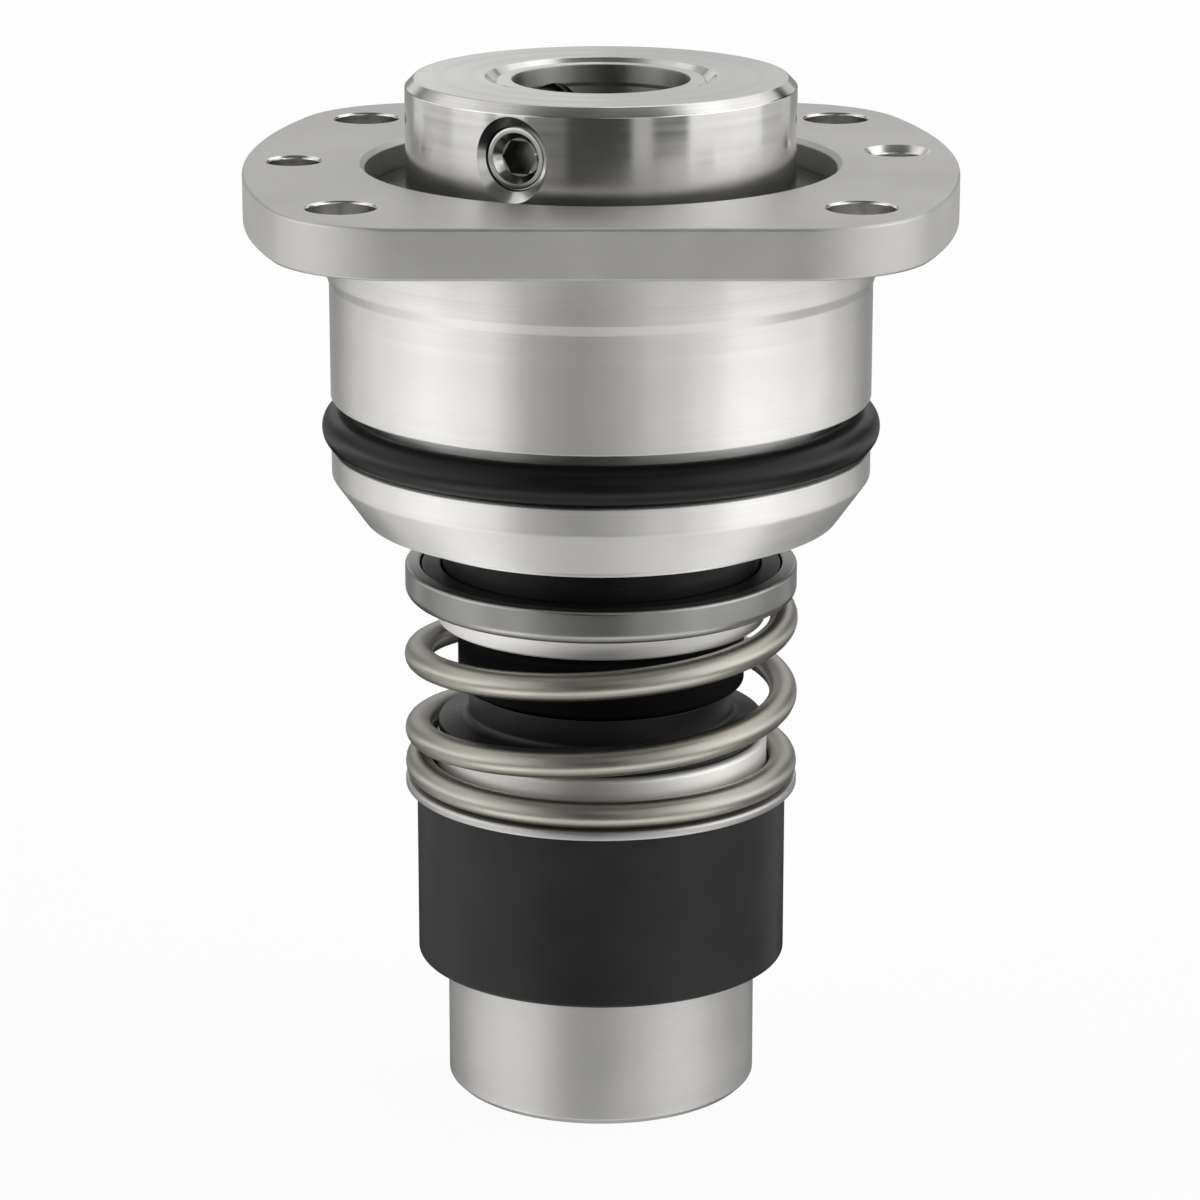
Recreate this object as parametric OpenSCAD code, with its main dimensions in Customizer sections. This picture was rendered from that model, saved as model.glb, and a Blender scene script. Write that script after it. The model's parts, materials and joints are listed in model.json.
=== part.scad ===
// Cartridge mechanical seal: a rubber bellows seal with a single coil spring on a stepped
// shaft sleeve, with its gland plate, seat and drive collar.
// Millimetres. The origin is the centre of the sleeve's lower face and +Z runs up the shaft.
// The front, where one set screw can be seen, looks along -Y.

/* [Shaft and sleeve] */
// Diameter of the shaft that the sleeve slides onto
shaft_d = 22; // [20:0.5:23]
// Radial clearance between the shaft and the sleeve's bore
shaft_fit = 0.03; // [0.01:0.01:0.1]
// Outer diameter of the sleeve along the seal
sleeve_d = 30; // [29:0.25:31]
// Outer diameter of the shoulder at the sleeve's foot
shoulder_d = 39.8; // [36:0.1:44]
// Height of the shoulder that carries the bellows tail
shoulder_h = 17.5; // [14:0.5:24]
// Outer diameter of the reduced end that the drive collar sits on
spigot_d = 26.6; // [26:0.1:27.6]
// Chamfer on the sleeve's foot
sleeve_chamfer = 0.8; // [0.3:0.1:1.2]
// Outer chamfer on the sleeve's upper end
spigot_chamfer = 0.45; // [0.2:0.05:0.6]
// Length of the upper land in the sleeve's bore
upper_land_h = 2.3; // [1.5:0.1:2.6]
// Length of the lower land in the sleeve's bore
lower_land_h = 38; // [30:1:60]
// Depth of the relief between the two lands
relief_depth = 0.5; // [0.2:0.1:0.8]
// Thickness of the O-ring inside the sleeve
sleeve_ring_section = 2.4; // [1.8:0.1:3]
// Height of the middle of the sleeve's O-ring above the foot
sleeve_ring_z = 8.5; // [6:0.5:10]

/* [Drive collar] */
// Outer diameter of the drive collar
collar_d = 48.75; // [46:0.25:51]
// Height of the drive collar
collar_h = 13.9; // [13:0.1:16]
// Chamfer round the collar's upper edge
collar_chamfer = 1.15; // [0.5:0.05:2]
// Width of the countersink at the collar's bore
collar_mouth = 1.05; // [0.5:0.05:1.5]
// How far the sleeve's end lies below the collar's upper face
sleeve_end_drop = 0.4; // [0:0.1:0.8]
// Gap between the guide ring and the collar
collar_gap = 0.3; // [0.2:0.1:0.6]

/* [Set screws] */
// Number of set screws round the collar
screw_count = 3; // [3:1:3]
// Angle of the first set screw from the front, towards -X
screw_turn = 26.5; // [0:0.5:60]
// Nominal thread diameter of the set screws
screw_d = 8; // [6:0.5:8]
// Length of each set screw
screw_l = 10; // [9:0.25:10.75]
// Width across the flats of the hexagon socket
socket_af = 4; // [3:0.25:4.25]
// Depth of the hexagon socket
socket_depth = 4; // [3:0.25:5]
// Height of the screws' axes below the collar's upper face
screw_drop = 6.7; // [6:0.1:7.4]
// How far the screw's end lies below the collar's surface
screw_recess = 1.4; // [1.2:0.1:2]
// Widening of the countersink round each screw hole
screw_mouth = 1.25; // [0.6:0.05:1.4]

/* [Bellows] */
// Outer diameter of the bellows tail
tail_d = 47.5; // [46:0.25:49]
// Height of the bellows tail
tail_h = 22.7; // [16:0.1:30]
// Thickness of the rubber at the neck
neck_wall = 2; // [1.6:0.1:2.4]
// Height of the straight stretch of the neck
neck_h = 4.6; // [3.4:0.1:5]
// Rise of the shelf from the rim to the neck
flare_h = 0.4; // [0.2:0.1:0.8]
// Rounding at the foot of the neck
neck_round = 0.9; // [0.4:0.1:1.5]
// Height of the rim's edge
rim_h = 1.3; // [1:0.1:1.8]
// Height of the rim above the lower retainer
rim_lift = 0.6; // [0.5:0.1:1.2]
// How far the rolled part stands out beyond the neck
roll_out = 1.3; // [0.8:0.1:1.6]
// Thickness of the rubber in the rolled part
roll_wall = 1.4; // [1:0.1:1.6]

/* [Retainers and spring] */
// Outer diameter of the lower retainer's flange
lower_flange_d = 50.4; // [49.5:0.1:52]
// Thickness of the lower retainer's flange
lower_flange_t = 1.1; // [0.8:0.1:1.6]
// Height of the lower retainer's leg above its flange
lower_leg_h = 5.7; // [4:0.1:6.5]
// Wall thickness of both retainers' legs
leg_t = 0.9; // [0.7:0.05:1.1]
// Outer diameter of the spring
spring_od = 50.4; // [49.8:0.1:51]
// Diameter of the spring's wire
wire_d = 3.56; // [3.2:0.02:3.6]
// Height of the spring between its two seats
spring_h = 24.1; // [22:0.1:27]
// Closed turns at the spring's lower end
closed_turns = 0.94; // [0.8:0.02:1]
// Rising turns of the spring
rise_turns = 2.2; // [1.8:0.05:2.4]
// Turns that lie flat at the spring's upper end
flat_turns = 0.22; // [0.1:0.02:0.4]
// Outer diameter of the upper retainer's band
band_d = 50; // [49.6:0.1:51]
// Height of the upper retainer's band
band_h = 4.3; // [3.8:0.1:5]
// Thickness of the band's wall
band_t = 1.9; // [1.4:0.1:2.1]
// Rounding under the band
band_round = 1.3; // [0.8:0.1:1.4]
// Depth of the pilot below the band
pilot_h = 3.1; // [2:0.1:3.6]

/* [Seal faces] */
// Outer diameter of the rotating face ring
face_d = 40.5; // [39:0.1:40.8]
// Radial clearance between the face ring and the sleeve
face_float = 0.8; // [0.5:0.1:1.2]
// Height of the face above the upper retainer's band
face_stand = 5.5; // [4.5:0.1:7]
// Outer diameter of the raised lapped nose
nose_d = 38; // [36:0.5:38.5]
// Height of the raised lapped nose
nose_h = 1.2; // [0.8:0.1:1.6]
// Oil film between the two lapped faces
face_film = 0.02; // [0.01:0.01:0.05]
// Outer diameter of the seat ring
seat_d = 49; // [47.5:0.25:50]
// Height of the seat's wide part
seat_flange_h = 5; // [4:0.1:6]
// Height of the seat's reduced part
seat_neck_h = 4; // [3.8:0.1:5]
// Thickness of the seat's O-ring
seat_ring_section = 3; // [2.6:0.1:3.2]
// Diameter of the pin that stops the seat from turning
pin_d = 2.5; // [2:0.1:3]
// Length of the seat's pin
pin_l = 6; // [5:0.25:8]

/* [Gland plate] */
// Width of the flange from side to side
flange_w = 89; // [88:0.5:92]
// Depth of the flange between its flat edges
flange_depth = 86.6; // [86:0.2:88]
// Thickness of the flange
flange_t = 6.3; // [5.5:0.1:8]
// Radius of the flange's bowed sides
side_r = 95; // [80:1:130]
// Radius of the flange's corners
corner_r = 16.5; // [14:0.5:18]
// Chamfer round the flange's edges
flange_chamfer = 0.4; // [0.2:0.05:0.8]
// Pitch circle diameter of the bolt holes
bolt_pcd = 87; // [86:0.5:89]
// Diameter of the bolt holes
bolt_d = 8.4; // [7:0.1:9]
// Countersink round each bolt hole
bolt_mouth = 0.2; // [0.1:0.1:1.2]
// Diameter of the plain hole on the left
plain_d = 6.8; // [5:0.1:7]
// Distance of the plain hole's axis from the flange's side
plain_edge = 6.2; // [5.8:0.1:7]
// Drilled diameter of the threaded hole on the right
thread_d = 6.8; // [5:0.1:7]
// Countersink round the threaded hole
thread_mouth = 0.9; // [0.5:0.1:1]
// Distance of the threaded hole's axis from the flange's side
thread_edge = 6.5; // [6:0.1:7]
// Angle of the threaded hole from +X
thread_turn = 10.5; // [0:0.5:14]
// Diameter of the recess round the collar
recess_d = 58.9; // [58.5:0.1:60]
// Depth of the recess
recess_h = 5.5; // [4.5:0.1:6]
// Chamfer round the recess
recess_chamfer = 0.6; // [0.2:0.05:0.8]
// Thickness of the guide ring in the recess
guide_t = 2; // [1.4:0.1:2.6]
// Diameter of the register below the flange
register_d = 69; // [68.6:0.1:70]
// Height of the register
register_h = 7.3; // [5:0.1:9]
// Diameter of the hub
hub_d = 68.2; // [67.6:0.1:68.4]
// Height of the bevel between the register and the hub
step_h = 1.2; // [0.6:0.1:2]
// Height of the hub above its O-ring groove
hub_h = 14.7; // [10:0.1:18]
// Height of the O-ring groove
groove_h = 6.5; // [5.4:0.1:7.5]
// Thickness of the hub's O-ring
hub_ring_section = 5; // [4.4:0.1:5.2]
// How far the hub's O-ring stands out beyond the hub
ring_proud = 1.15; // [0.8:0.05:1.5]
// Height of the land below the groove
land_h = 3.5; // [2.5:0.1:5]
// Height of the long bevel at the hub's foot
cone_h = 5.6; // [4:0.1:7]
// Radial width of the long bevel
cone_w = 4; // [3:0.1:5]
// Outer diameter of the lip below the hub
lip_d = 52.2; // [51.4:0.1:54]
// Height of the lip
lip_h = 1.6; // [1:0.1:2.4]
// How far the lip reaches past the seal faces
lip_drop = 0.8; // [0.4:0.1:1.2]
// Diameter of the hub's bore above the seat
hub_bore_d = 36; // [35.5:0.5:38]

/* [Hidden] */
// Clearance of pieces that stay together
seat_fit = 0.05;
// Clearance of curved pieces that move past each other
run_gap = 0.3;
// Clearance of each set screw's thread in the collar
thread_fit = 0.05;
// Clearance of each set screw in the sleeve's wall
screw_way = 0.2;
// Overlap of cutting tools past the surfaces they cut
cut = 1;
// Smoothness of round forms
$fn = 96;
// Facets round small round forms and round the flange's wide arcs
small_sides = 48;
arc_sides = 180;
// Facets round the spring's wire, and rings in each of its turns
wire_sides = 16;
turn_rings = 56;
// Share of the spring's rise that eases in and out at its ends
ease = 0.06;
// Fine edge breaks on turned rings, the seat and the bore
fine = 0.3;
// Space between the bellows rim and the inside of the spring
rim_in = 0.4;
// Drop from the bellows rim's edge to the plug inside the lower retainer
rim_drop = 0.4;
// Drop from the top of the band to the top of the bellows cup
cup_drop = 0.2;
// Thickness of the upper retainer's floor and of the bellows cup's floor
floor_t = 1;
cup_floor_t = 1.2;
// Height of the sleeve's O-ring groove as a share of its ring's thickness
groove_share = 1.35;
// Widening of the seat's bore beyond the face ring's bore
seat_clear = 0.5;
// Depth of the slot for the seat's pin
slot_h = 2.4;
// Edge breaks on the set screws' tips, outer ends and sockets
tip_edge = 1;
end_edge = 0.5;
socket_edge = 0.35;

// Levels from the foot upwards
z_tail = shoulder_h;
z_lower = z_tail + tail_h;
z_spring = z_lower + lower_flange_t;
z_lower_leg = z_spring + lower_leg_h;
z_floor = z_spring + spring_h;
z_band = z_floor + band_h;
z_contact = z_band + face_stand;
z_lip = z_contact - lip_drop;
z_hub = z_lip + lip_h;
z_land = z_hub + cone_h;
z_groove = z_land + land_h;
z_groove_top = z_groove + groove_h;
z_step = z_groove_top + hub_h;
z_register = z_step + step_h;
z_flange = z_register + register_h;
z_top = z_flange + flange_t;
z_recess = z_top - recess_h;
z_guide = z_recess + guide_t;
z_collar = z_guide + collar_gap;
z_collar_top = z_collar + collar_h;
z_sleeve_end = z_collar_top - sleeve_end_drop;
z_screw = z_collar_top - screw_drop;

// Radii of the sleeve and what sits on it
bore_r = shaft_d / 2 + shaft_fit;
sleeve_r = sleeve_d / 2;
spigot_r = spigot_d / 2;
collar_r = collar_d / 2;
collar_bore_r = spigot_r + seat_fit;
screw_r = screw_d / 2 - thread_fit;
screw_hole_r = screw_d / 2;
screw_way_r = screw_d / 2 + screw_way;
relief_r = bore_r + relief_depth;
sleeve_groove_r = bore_r + sleeve_ring_section + 2 * seat_fit;
sleeve_groove_h = sleeve_ring_section * groove_share;

// Radii of the retainers, the spring and the bellows
wire_r = wire_d / 2;
spring_r = spring_od / 2 - wire_r;
pilot_r = spring_r - wire_r - run_gap;
leg_bore_r = pilot_r - leg_t;
band_r = band_d / 2;
band_bore_r = band_r - band_t;
grip_r = sleeve_r + seat_fit;
neck_r = grip_r + neck_wall;
rim_r = pilot_r - rim_in;
roll_r = neck_r + roll_out;
cup_r = band_bore_r - run_gap / 2;
cup_bore_r = face_d / 2 + run_gap / 2;
throat_r = leg_bore_r - run_gap;
z_rim = z_lower_leg + rim_lift;
z_neck = z_rim + rim_h + flare_h;
z_roll = z_neck + neck_h;
z_cup = z_floor + floor_t + run_gap / 2;
z_face_foot = z_cup + cup_floor_t + run_gap / 2;
z_cup_rim = z_band - cup_drop;
z_throat = z_floor - pilot_h;

// Sizes of the faces, the seat and the hub's bore
face_r = face_d / 2;
face_bore_r = sleeve_r + face_float;
nose_r = nose_d / 2;
z_seat = z_contact + face_film;
z_seat_step = z_seat + seat_flange_h;
z_seat_top = z_seat_step + seat_neck_h;
z_pocket = z_seat_top + run_gap / 2;
seat_r = seat_d / 2;
pocket_r = seat_r + 2 * seat_fit;
seat_neck_r = pocket_r - seat_ring_section - 2 * seat_fit;
seat_bore_r = sleeve_r + face_float + seat_clear;
hub_bore_r = hub_bore_d / 2;
pin_r = pin_d / 2;
pin_at = (seat_neck_r + seat_bore_r) / 2;
z_pin = z_seat_top - slot_h + run_gap;
lip_r = lip_d / 2;

// Sizes of the hub, its O-ring groove and the guide ring
hub_r = hub_d / 2;
register_r = register_d / 2;
hub_ring_r = hub_r + ring_proud - hub_ring_section / 2;
groove_r = hub_ring_r - hub_ring_section / 2 - seat_fit;
recess_r = recess_d / 2;
guide_bore_r = sleeve_r + run_gap;

// Centres of the flange's arcs: each corner is tangent to a straight edge and a bowed side
side_at = side_r - flange_w / 2;
corner_y = flange_depth / 2 - corner_r;
corner_x = sqrt(pow(side_r - corner_r, 2) - pow(corner_y, 2)) - side_at;
side_half = side_r * corner_y / (side_r - corner_r);

// Points of an arc round centre c with radius r, from angle a to angle b
function arc(c, r, a, b, steps = 8) =
    [for (i = [0:steps]) c + r * [cos(a + (b - a) * i / steps), sin(a + (b - a) * i / steps)]];

// Direction of set screw i, seen from above
function screw_angle(i) = 270 - screw_turn + 360 * i / screw_count;

// Share of the spring's rise reached at share u of its rising turns, eased at both ends
function eased(u) =
    u <= 0 ? 0 :
    u >= 1 ? 1 :
    u < ease ? u * u / (2 * ease * (1 - ease)) :
    u > 1 - ease ? 1 - pow(1 - u, 2) / (2 * ease * (1 - ease)) :
    (u - ease / 2) / (1 - ease);

// Height of the wire's centre after t turns from the spring's lower end
function wire_z(t) =
    z_spring + wire_r + (spring_h - wire_d) * eased((t - closed_turns) / rise_turns);

// Ring of round section, as a torus
module o_ring(r, section, z) {
    translate([0, 0, z])
        rotate_extrude()
            translate([r, 0])
                circle(d = section, $fn = small_sides);
}

// Plain turned ring between two radii and two levels, with its four edges broken by c
module turned_ring(inner, outer, low, high, c) {
    rotate_extrude()
        polygon([
            [inner + c, low], [outer - c, low], [outer, low + c], [outer, high - c],
            [outer - c, high], [inner + c, high], [inner, high - c], [inner, low + c]
        ]);
}

// Radial cutter or bar of radius r from the axis distance a to b, at set screw i
module radial(i, r, a, b) {
    rotate([0, 0, screw_angle(i)])
        translate([a, 0, z_screw])
            rotate([0, 90, 0])
                cylinder(r = r, h = b - a);
}

// Vertical hole of diameter d with a countersink of width mouth at both ends
module flange_hole(d, mouth) {
    translate([0, 0, z_flange - cut])
        cylinder(d = d, h = flange_t + 2 * cut);
    translate([0, 0, z_top - mouth])
        cylinder(r1 = d / 2, r2 = d / 2 + mouth + cut, h = mouth + cut);
    translate([0, 0, z_flange - cut])
        cylinder(r1 = d / 2 + fine + cut, r2 = d / 2, h = fine + cut);
}

// Disc of radius r with the flange's thickness and edge chamfers
module flange_disc(r) {
    c = flange_chamfer;
    rotate_extrude($fn = arc_sides)
        polygon([
            [0, z_flange], [r - c, z_flange], [r, z_flange + c],
            [r, z_top - c], [r - c, z_top], [0, z_top]
        ]);
}

// Flange body: straight front and back edges, bowed sides and round corners
module flange_body() {
    c = flange_chamfer;
    half = flange_depth / 2;
    rotate([90, 0, 90])
        translate([0, 0, -corner_x])
            linear_extrude(2 * corner_x)
                polygon([
                    [c - half, z_flange], [half - c, z_flange], [half, z_flange + c],
                    [half, z_top - c], [half - c, z_top], [c - half, z_top],
                    [-half, z_top - c], [-half, z_flange + c]
                ]);
    for (x = [-1, 1])
        for (y = [-1, 1])
            translate([x * corner_x, y * corner_y, 0])
                flange_disc(corner_r);
    intersection() {
        translate([-side_at, 0, 0])
            flange_disc(side_r);
        translate([side_at, 0, 0])
            flange_disc(side_r);
        translate([-flange_w, -side_half, z_flange - cut])
            cube([2 * flange_w, 2 * side_half, flange_t + 2 * cut]);
    }
}

// Stepped sleeve with a relieved bore, an O-ring groove and holes for the set screws
module shaft_sleeve() {
    c = sleeve_chamfer;
    groove_low = sleeve_ring_z - sleeve_groove_h / 2;
    groove_high = sleeve_ring_z + sleeve_groove_h / 2;
    relief_high = z_sleeve_end - upper_land_h;
    color("lightsteelblue")
        difference() {
            rotate_extrude()
                polygon([
                    [bore_r + fine, 0], [shoulder_d / 2 - c, 0], [shoulder_d / 2, c],
                    [shoulder_d / 2, shoulder_h], [sleeve_r, shoulder_h], [sleeve_r, z_collar],
                    [spigot_r, z_collar], [spigot_r, z_sleeve_end - spigot_chamfer],
                    [spigot_r - spigot_chamfer, z_sleeve_end], [bore_r + fine / 2, z_sleeve_end],
                    [bore_r, z_sleeve_end - fine / 2], [bore_r, relief_high],
                    [relief_r, relief_high - relief_depth], [relief_r, lower_land_h + relief_depth],
                    [bore_r, lower_land_h], [bore_r, groove_high], [sleeve_groove_r, groove_high],
                    [sleeve_groove_r, groove_low], [bore_r, groove_low], [bore_r, fine]
                ]);
            for (i = [0:screw_count - 1])
                radial(i, screw_way_r, 0, sleeve_r);
        }
}

// O-ring in the sleeve's bore, drawn as pressed flush by the shaft
module sleeve_o_ring() {
    color("black")
        o_ring(bore_r + sleeve_ring_section / 2 + seat_fit, sleeve_ring_section, sleeve_ring_z);
}

// Thick locking collar on the sleeve's end
module drive_collar() {
    c = collar_chamfer;
    color("silver")
        difference() {
            rotate_extrude()
                polygon([
                    [collar_bore_r, z_collar], [collar_r - fine, z_collar], [collar_r, z_collar + fine],
                    [collar_r, z_collar_top - c], [collar_r - c, z_collar_top],
                    [collar_bore_r + collar_mouth, z_collar_top],
                    [collar_bore_r, z_collar_top - collar_mouth]
                ]);
            for (i = [0:screw_count - 1]) {
                radial(i, screw_hole_r, 0, collar_r + cut);
                rotate([0, 0, screw_angle(i)])
                    translate([collar_r - screw_mouth, 0, z_screw])
                        rotate([0, 90, 0])
                            cylinder(r1 = screw_hole_r, r2 = screw_hole_r + screw_mouth + cut,
                                h = screw_mouth + cut);
            }
        }
}

// Headless screw with a hexagon socket at its outer end and a cup at its tip
module set_screw(i) {
    tip = collar_r - screw_recess - screw_l;
    cup = screw_r / 2;
    color("dimgray")
        rotate([0, 0, screw_angle(i)])
            translate([tip, 0, z_screw])
                rotate([0, 90, 0])
                    difference() {
                        rotate_extrude($fn = small_sides)
                            polygon([
                                [0, cup / 2], [cup, 0], [screw_r - tip_edge, 0], [screw_r, tip_edge],
                                [screw_r, screw_l - end_edge], [screw_r - end_edge, screw_l],
                                [0, screw_l]
                            ]);
                        translate([0, 0, screw_l - socket_depth])
                            cylinder(d = socket_af / cos(30), h = socket_depth + cut, $fn = 6);
                        translate([0, 0, screw_l - socket_edge])
                            cylinder(r1 = socket_af / 2, r2 = socket_af / 2 + 2 * (socket_edge + cut),
                                h = socket_edge + cut);
                    }
}

module set_screw_1() {
    set_screw(0);
}

module set_screw_2() {
    set_screw(1);
}

module set_screw_3() {
    set_screw(2);
}

// One moulded bellows: tail on the sleeve, flared rim, neck, rolled part and cup for the face
module bellows() {
    edge = 0.5;
    roll_top = z_throat - 2 * edge;
    inner_r = grip_r + run_gap;
    roll_inner_r = roll_r - roll_wall;
    color("#26282a")
        rotate_extrude()
            polygon(concat(
                [[grip_r, z_tail], [tail_d / 2, z_tail], [tail_d / 2, z_lower]],
                [[leg_bore_r - seat_fit, z_lower], [leg_bore_r - seat_fit, z_rim - rim_drop]],
                arc([rim_r - edge, z_rim + edge], edge, -60, 0, 4),
                [[rim_r, z_rim + rim_h]],
                arc([neck_r + neck_round, z_neck + neck_round], neck_round, 270, 180, 6),
                [[neck_r, z_roll - edge]],
                arc([roll_r - edge, z_roll + edge], edge, -90, 0, 4),
                [[roll_r, roll_top - edge]],
                arc([throat_r - edge, z_throat], edge, -60, 0, 4),
                [[throat_r, z_cup], [cup_r, z_cup], [cup_r, z_cup_rim], [cup_bore_r, z_cup_rim]],
                [[cup_bore_r, z_cup + cup_floor_t], [face_bore_r, z_cup + cup_floor_t]],
                [[face_bore_r, z_cup], [roll_inner_r, roll_top]],
                [[roll_inner_r, z_roll + roll_wall], [inner_r, z_roll], [inner_r, z_neck]],
                [[grip_r, z_rim + rim_h]]
            ));
}

// Angled ring on the bellows tail, which seats the spring's closed turn
module lower_retainer() {
    edge = 0.7;
    color("silver")
        rotate_extrude()
            difference() {
                union() {
                    translate([leg_bore_r, z_lower])
                        square([lower_flange_d / 2 - leg_bore_r, lower_flange_t]);
                    translate([leg_bore_r, z_lower])
                        square([leg_t, z_lower_leg - z_lower]);
                }
                translate([pilot_r - edge, z_lower_leg - edge])
                    difference() {
                        square(edge + cut);
                        circle(edge);
                    }
            }
}

// Single coil spring: a closed lower turn, open rising turns and a short flat upper end
module coil_spring() {
    turns = closed_turns + rise_turns + flat_turns;
    rings = ceil(turns * turn_rings);
    start = 20;
    points = [
        for (k = [0:rings])
            let (t = turns * k / rings, a = start + 360 * t)
            for (s = [0:wire_sides - 1])
                let (b = 360 * s / wire_sides, r = spring_r + wire_r * cos(b))
                [r * cos(a), r * sin(a), wire_z(t) + wire_r * sin(b)]
    ];
    sides = [
        for (k = [0:rings - 1])
            for (s = [0:wire_sides - 1])
                let (n = (s + 1) % wire_sides, low = k * wire_sides, high = low + wire_sides)
                [low + s, high + s, high + n, low + n]
    ];
    first = [for (s = [0:wire_sides - 1]) s];
    last = [for (s = [wire_sides - 1:-1:0]) rings * wire_sides + s];
    color("darkgray")
        polyhedron(points, concat(sides, [first, last]), convexity = 6);
}

// Turned ring round the bellows cup: a band, a floor on the spring and a pilot inside it
module upper_retainer() {
    edge = 0.4;
    color("gainsboro")
        rotate_extrude()
            difference() {
                union() {
                    translate([leg_bore_r, z_floor])
                        square([band_r - leg_bore_r, floor_t]);
                    translate([band_bore_r, z_floor])
                        square([band_t, band_h]);
                    translate([leg_bore_r, z_throat])
                        square([leg_t, pilot_h + floor_t]);
                }
                translate([band_r - band_round, z_floor + band_round])
                    mirror([0, 1])
                        difference() {
                            square(band_round + cut);
                            circle(band_round);
                        }
                translate([band_r - edge, z_band - edge])
                    difference() {
                        square(edge + cut);
                        circle(edge);
                    }
                translate([pilot_r - edge, z_throat + edge])
                    mirror([0, 1])
                        difference() {
                            square(edge + cut);
                            circle(edge);
                        }
            }
}

// Rotating carbon ring with a raised lapped nose
module face_ring() {
    color("#303234")
        rotate_extrude()
            polygon([
                [face_bore_r, z_face_foot], [face_r - fine, z_face_foot], [face_r, z_face_foot + fine],
                [face_r, z_contact - nose_h], [nose_r, z_contact - nose_h], [nose_r, z_contact],
                [face_bore_r + fine, z_contact], [face_bore_r, z_contact - fine]
            ]);
}

// Gland plate and hub in one piece, turned and milled
module gland_plate() {
    c = recess_chamfer;
    color("silver")
        difference() {
            union() {
                flange_body();
                rotate_extrude()
                    polygon([
                        [0, z_hub], [hub_r - cone_w, z_hub], [hub_r, z_land], [hub_r, z_groove - fine],
                        [hub_r - fine, z_groove], [groove_r, z_groove], [groove_r, z_groove_top],
                        [hub_r - fine, z_groove_top], [hub_r, z_groove_top + fine], [hub_r, z_step],
                        [register_r, z_register], [register_r, z_flange + cut], [0, z_flange + cut]
                    ]);
                translate([0, 0, z_lip])
                    cylinder(r = lip_r, h = lip_h + cut);
            }
            rotate_extrude()
                polygon([
                    [0, z_lip - cut], [pocket_r, z_lip - cut], [pocket_r, z_pocket],
                    [hub_bore_r, z_pocket], [hub_bore_r, z_recess], [recess_r, z_recess],
                    [recess_r, z_top - c], [recess_r + c, z_top], [recess_r + c, z_top + cut],
                    [0, z_top + cut]
                ]);
            translate([pin_at, 0, z_pin])
                cylinder(r = pin_r + seat_fit, h = pin_l + run_gap, $fn = small_sides);
            for (i = [0:3])
                rotate([0, 0, 45 + 90 * i])
                    translate([bolt_pcd / 2, 0, 0])
                        flange_hole(bolt_d, bolt_mouth);
            translate([plain_edge - flange_w / 2, 0, 0])
                flange_hole(plain_d, fine);
            rotate([0, 0, thread_turn])
                translate([flange_w / 2 - thread_edge, 0, 0])
                    flange_hole(thread_d, thread_mouth);
        }
}

// O-ring round the hub, lying on the groove's lower side
module gland_o_ring() {
    color("black")
        o_ring(hub_ring_r, hub_ring_section, z_groove + hub_ring_section / 2 + seat_fit);
}

// Stationary seat with a slot for its pin
module seat_ring() {
    color("#3a3b3d")
        difference() {
            rotate_extrude()
                polygon([
                    [seat_bore_r, z_seat], [seat_r - fine, z_seat], [seat_r, z_seat + fine],
                    [seat_r, z_seat_step], [seat_neck_r, z_seat_step], [seat_neck_r, z_seat_top - fine],
                    [seat_neck_r - fine, z_seat_top], [seat_bore_r, z_seat_top]
                ]);
            translate([pin_at, 0, z_seat_top - slot_h])
                cylinder(r = pin_r + run_gap, h = slot_h + cut, $fn = small_sides);
        }
}

// O-ring behind the seat's wide part
module seat_o_ring() {
    color("black")
        o_ring(seat_neck_r + seat_ring_section / 2 + seat_fit, seat_ring_section,
            z_seat_step + seat_ring_section / 2 + seat_fit);
}

// Pin pressed into the hub that stops the seat from turning
module seat_pin() {
    color("gray")
        translate([pin_at, 0, z_pin])
            cylinder(r = pin_r, h = pin_l, $fn = small_sides);
}

// Low friction ring in the recess that centres the plate on the sleeve
module guide_ring() {
    color("#1c1c1e")
        turned_ring(guide_bore_r, recess_r - 2 * seat_fit, z_recess, z_guide, fine);
}

shaft_sleeve();
sleeve_o_ring();
drive_collar();
set_screw_1();
set_screw_2();
set_screw_3();
bellows();
lower_retainer();
coil_spring();
upper_retainer();
face_ring();
gland_plate();
gland_o_ring();
seat_ring();
seat_o_ring();
seat_pin();
guide_ring();
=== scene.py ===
"""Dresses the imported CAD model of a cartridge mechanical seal: turned steel, rubber and studio."""

import json
import math

import bmesh
import bpy
from mathutils import Matrix, Vector


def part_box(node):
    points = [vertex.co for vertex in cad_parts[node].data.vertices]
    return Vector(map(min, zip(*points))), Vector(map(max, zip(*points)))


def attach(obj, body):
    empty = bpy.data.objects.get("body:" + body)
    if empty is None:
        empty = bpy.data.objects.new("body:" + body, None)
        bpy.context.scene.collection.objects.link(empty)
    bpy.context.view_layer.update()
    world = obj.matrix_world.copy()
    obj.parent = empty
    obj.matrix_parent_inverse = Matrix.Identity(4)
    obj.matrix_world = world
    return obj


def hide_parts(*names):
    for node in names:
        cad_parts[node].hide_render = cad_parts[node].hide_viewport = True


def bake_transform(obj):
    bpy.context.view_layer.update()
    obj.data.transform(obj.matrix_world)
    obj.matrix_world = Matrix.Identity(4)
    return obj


bl_info = {
    "name": "Cartridge seal",
    "version": (1, 0, 0),
    "blender": (4, 5, 0),
    "location": "View3D > Sidebar > Seal",
    "description": "Builds the finished pieces of a cartridge mechanical seal round its CAD model",
    "category": "Add Mesh",
}

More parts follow.
